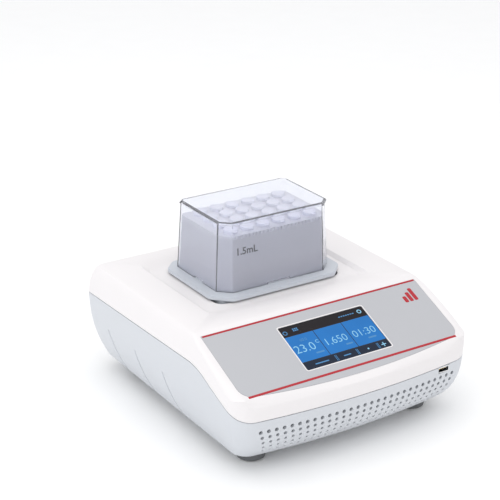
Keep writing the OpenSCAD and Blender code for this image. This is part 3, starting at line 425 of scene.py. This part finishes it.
def drawDisplay(look):
    pieces = []
    w, h = look["width"] / 2, look["height"] / 2
    edge, gap = look["edge"], look["gap"]
    tileTop = h - look["barHeight"]
    tileFoot = look["navHeight"] - h + gap
    third = look["width"] / 3
    tileBlue = lit("tileBlue", look["tileBlue"], 1.0)
    navBlue = lit("navBlue", look["navBlue"], 1.0)
    pale = lit("paleFigures", look["pale"], 1.0)
    dim = lit("dimFigures", look["dim"], 1.0)
    barBlack = lit("barBlack", look["barBlack"], 1.0)

    def field(name, x0, x1, y0, y1, radius, material, place=inkPlace):
        pieces.append(patch(name, x0, x1, y0, y1, radius, place, material))

    def ring(name, x, y, radius, width, material):
        pieces.append(ringPatch(name, x, y, radius, width, inkPlace, material))

    # grounds: the bar, the bottom bar and three tiles
    field("displayBar", -w + edge, w - edge, tileTop + gap, h - edge, 0.4 * mm, barBlack, screenPlace)
    field("displayNav", -w + edge, w - edge, -h + edge, tileFoot - gap, 0.4 * mm, navBlue, screenPlace)
    for i in range(3):
        left = -w + i * third + (edge if i == 0 else gap / 2)
        right = -w + (i + 1) * third - (edge if i == 2 else gap / 2)
        field(f"displayTile{i + 1}", left, right, tileFoot, tileTop, 0.3 * mm, tileBlue, screenPlace)

    # readings and the captions under them
    middle = -w + third / 2
    base = look["baseLine"]
    for i, (words, scale, shift) in enumerate(look["readings"]):
        x = middle + i * third + shift - 0.8 * mm
        pieces.append(figures(f"reading{i + 1}", words, look["figureSize"] * scale, x, base, inkPlace, pale,
                              thin=-0.00012))
    pieces.append(figures("degreeMark", "C", 5.6 * mm, -w + third - 3.4 * mm, base + 6.0 * mm, inkPlace, pale))
    pieces.append(figures("setReading", "60.0", 4.6 * mm, middle + 1.0 * mm, base + 12.4 * mm, inkPlace, dim))
    for i, (x, wide) in enumerate(look["captions"]):
        x0 = middle + i * third + (x - wide / 2) * mm
        field(f"caption{i + 1}", x0, x0 + wide * mm, base - 5.4 * mm, base - 3.6 * mm, 0.6 * mm, dim)

    # icons in the top bar
    barMid = (tileTop + h) / 2
    ring("backIcon", -w + 4.2 * mm, barMid - 1.2 * mm, 2.3 * mm, 0.7 * mm, dim)
    for i in range(3):
        for j in range(2):
            x = -w + 13.4 * mm + i * 2.0 * mm
            y = barMid - 0.6 * mm + j * 2.0 * mm
            field(f"gridIcon{i * 2 + j + 1}", x, x + 1.5 * mm, y - 0.8 * mm, y + 0.7 * mm, 0.3 * mm, dim)
    ring("clockIcon", w - 6.0 * mm, barMid + 0.6 * mm, 2.4 * mm, 1.0 * mm, pale)
    for i in range(7):
        x = w - 30 * mm + i * 2.6 * mm
        field(f"noteBar{i + 1}", x, x + 2.0 * mm, barMid - 0.2 * mm, barMid + 1.0 * mm, 0.5 * mm, dim)

    # fields of the bottom bar; places across it are shares of the width
    navMid = -h + look["navHeight"] / 2
    for i, share in enumerate(look["ticks"]):
        for side, letter in ((-0.7, "a"), (0.7, "b")):
            x = -w + look["width"] * share + side * mm
            field(f"navTick{i + 1}{letter}", x - 0.25 * mm, x + 0.25 * mm, navMid - 3.4 * mm, navMid + 3.4 * mm,
                  0.2 * mm, dim)
    for i, (share, wide) in enumerate(look["words"]):
        x = -w + look["width"] * share
        half = wide / 2 * mm
        field(f"navWord{i + 1}", x - half, x + half, navMid - 0.6 * mm, navMid + 0.6 * mm, 0.5 * mm, dim)
    ring("navDot", -w + look["width"] * 0.745, navMid, 0.9 * mm, 0.85 * mm, pale)
    plus = -w + look["width"] * 0.93
    for letter, reach, tall in (("A", 2.6 * mm, 0.5 * mm), ("B", 0.5 * mm, 2.6 * mm)):
        field(f"navPlus{letter}", plus - reach, plus + reach, navMid - tall, navMid + tall, 0.3 * mm, pale)
    return pieces


displayPieces = drawDisplay(screen)
for piece in displayPieces:
    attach(piece, "housing")
labelSurface = (glassMiddle + slopeOut * (glassTop + screen["label"]), acrossX, slopeAlong, slopeOut)
rimX, rimY = 48.6 * mm, 28.1 * mm
screenRim = rimPatch("screenRim", -rimX, rimX, -rimY, rimY, 2.4 * mm, 1.0 * mm, labelSurface,
                     materialOf["cover_white"])
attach(screenRim, "housing")
print("display drawn:", len(displayPieces), "pieces")


# printed marks

badge = {
    "x": 102 * mm,             # centre of the mark across the panel
    "down": 23 * mm,           # below the slope's top edge
    "barWidth": 4.2 * mm,
    "heights": (8.0 * mm, 12.0 * mm, 16.0 * mm),
}
labelLow, labelHigh = (np.array(v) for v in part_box("control_label"))
labelTop = np.array([0.0, labelHigh[1] - screen["label"] * math.sin(screen["slope"]), labelHigh[2]])
labelPlace = (labelTop + slopeOut * screen["lift"], acrossX, slopeAlong, slopeOut)
for i, tall in enumerate(badge["heights"]):
    x = badge["x"] + (i - 1) * 5.6 * mm
    foot = -(badge["down"] - 6 * mm) - 8 * mm
    bar = patch(f"badgeBar{i + 1}", x - badge["barWidth"] / 2, x + badge["barWidth"] / 2, foot, foot + tall,
                1.4 * mm, labelPlace, materialOf["stripe_red"])
    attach(bar, "housing")

socket = {
    "shell": 0.7 * mm,         # width of a painted highlight along the front edge of the metal shell
    "tongue": (3.0 * mm, 4.4 * mm),
    "contacts": (-3.5, -1.2, 1.2, 3.5),
}
usbLow, usbHigh = (np.array(v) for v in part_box("usb_socket"))
usbHalf = (usbHigh[0] - usbLow[0]) / 2
usbTall = usbHigh[2] - usbLow[2]
usbFoot = np.array([(usbLow[0] + usbHigh[0]) / 2, usbLow[1], usbLow[2]])
upZ, frontY = np.array([0.0, 0.0, 1.0]), np.array([0.0, -1.0, 0.0])
mouthPlace = (usbFoot, acrossX, upZ, frontY)
tonguePlace = (usbFoot + np.array([0.0, 1.97 * mm, 0.0]), acrossX, upZ, frontY)
# a lighter copy of the shell's steel, used as a painted highlight along the socket's front edge
paintedHighlightSteel = grained("paintedHighlightSteel", {"color": (0.86, 0.86, 0.87), "roughness": 0.25, "metallic": 0.6})
gold = grained("contactGold", {"color": (0.80, 0.55, 0.18), "roughness": 0.25, "metallic": 1.0})
tongueWhite = grained("tongueWhite", {"color": (0.75, 0.75, 0.74), "roughness": 0.4})
# the shell's front edge, drawn as a rim in the painted-highlight steel
shellHighlightRim = rimPatch("usbShellHighlightRim", -usbHalf, usbHalf, 0.0, usbTall, 1.0 * mm, socket["shell"], mouthPlace,
                     paintedHighlightSteel)
tongue = patch("usbTongue", -5.4 * mm, 5.4 * mm, *socket["tongue"], 0.2 * mm, tonguePlace, tongueWhite)
socketPieces = [(shellHighlightRim, "steel"), (tongue, "label_grey")]
for i, x in enumerate(socket["contacts"]):
    low = socket["tongue"][0] - 0.3 * mm
    contact = patch(f"usbContact{i + 1}", (x - 0.5) * mm, (x + 0.5) * mm, low, low + 0.6 * mm, 0.1 * mm,
                    tonguePlace, gold, thick=0.0001)
    socketPieces.append((contact, "bronze"))
for piece, slotName in socketPieces:
    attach(piece, "housing")

blockMark = {"words": "1.5mL", "size": 9.8 * mm, "fromLeft": 14.6 * mm, "underTop": 16.2 * mm,
             "draft": 3 * 52 / 70 * mm}
blockLow, blockHigh = (np.array(v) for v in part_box("heater_block"))
blockTall = blockHigh[2] - blockLow[2]
faceUp = np.array([0.0, blockMark["draft"], blockTall])
faceUp = faceUp / np.linalg.norm(faceUp)
faceOut = np.cross(acrossX, faceUp)
faceTop = np.array([blockLow[0], blockLow[1] + blockMark["draft"], blockHigh[2]])
blockPlace = (faceTop + faceOut * 0.00003, acrossX, faceUp, faceOut)
inkBlack = grained("printBlack", {"color": (0.012, 0.012, 0.014), "roughness": 0.5})
mark = figures("blockMark", blockMark["words"], blockMark["size"], blockMark["fromLeft"],
               -blockMark["underTop"], blockPlace, inkBlack, align="LEFT", thin=0.00022)
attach(mark, "platform")
print("marks done")


# studio

studio = {
    "floorSize": 6.0,
    "floorTone": (0.95, 0.95, 0.95),
    "worldTone": (0.985, 0.99, 1.0),
    "worldStrength": 0.95,
}


def makeFloor(look):
    # a flat sheet: a grid of points at height 0
    t = np.linspace(-look["floorSize"], look["floorSize"], 9)
    x, y = np.meshgrid(t, t, indexing="ij")
    points = np.stack([x, y, np.zeros_like(x) - 0.00002], axis=2)
    paper = {"color": look["floorTone"], "roughness": 0.6, "grain": 400.0, "bump": 0.02}
    material = grained("floorPaper", paper)
    floor = gridPiece("studioFloor", points, material)
    return floor


def areaLight(name, place, target, size, power, tone):
    light = bpy.data.lights.new(name, "AREA")
    light.shape = "DISK"
    light.size = size
    light.energy = power
    light.color = tone
    obj = bpy.data.objects.new(name, light)
    obj.location = place
    aim = Vector(target) - Vector(place)
    obj.rotation_euler = aim.to_track_quat("-Z", "Y").to_euler()
    bpy.context.scene.collection.objects.link(obj)
    return obj


makeFloor(studio)
areaLight("overhead", (-0.1, 0.1, 1.7), (0, 0, 0.1), 1.6, 7.0, (1.0, 0.985, 0.97))
areaLight("leftFill", (-1.7, -0.3, 0.7), (0, 0, 0.08), 1.2, 5.0, (0.95, 0.98, 1.0))
areaLight("frontFill", (0.5, -2.0, 0.9), (0, 0, 0.08), 1.2, 2.0, (1.0, 0.99, 0.98))
world = bpy.data.worlds.new("studioWorld")
world.use_nodes = True
world.node_tree.nodes["Background"].inputs["Color"].default_value = (*studio["worldTone"], 1.0)
world.node_tree.nodes["Background"].inputs["Strength"].default_value = studio["worldStrength"]
bpy.context.scene.world = world
bpy.context.scene.view_settings.view_transform = "Standard"
bpy.context.scene.view_settings.look = "None"

view = {
    "place": (-0.72604, -1.07217, 0.68053),
    "heading": math.radians(-32.97),
    "tilt": math.radians(90 - 22.40),
    "roll": math.radians(0.34),
    "lens": 105.63,
}
cameraData = bpy.data.cameras.new("benchCamera")
cameraData.lens = view["lens"]
cameraData.sensor_width = 36.0
camera = bpy.data.objects.new("benchCamera", cameraData)
turn = (Matrix.Rotation(view["heading"], 4, "Z") @ Matrix.Rotation(view["tilt"], 4, "X")
        @ Matrix.Rotation(view["roll"], 4, "Z"))
camera.matrix_world = Matrix.Translation(view["place"]) @ turn
bpy.context.scene.collection.objects.link(camera)
bpy.context.scene.camera = camera
print("studio and camera done")
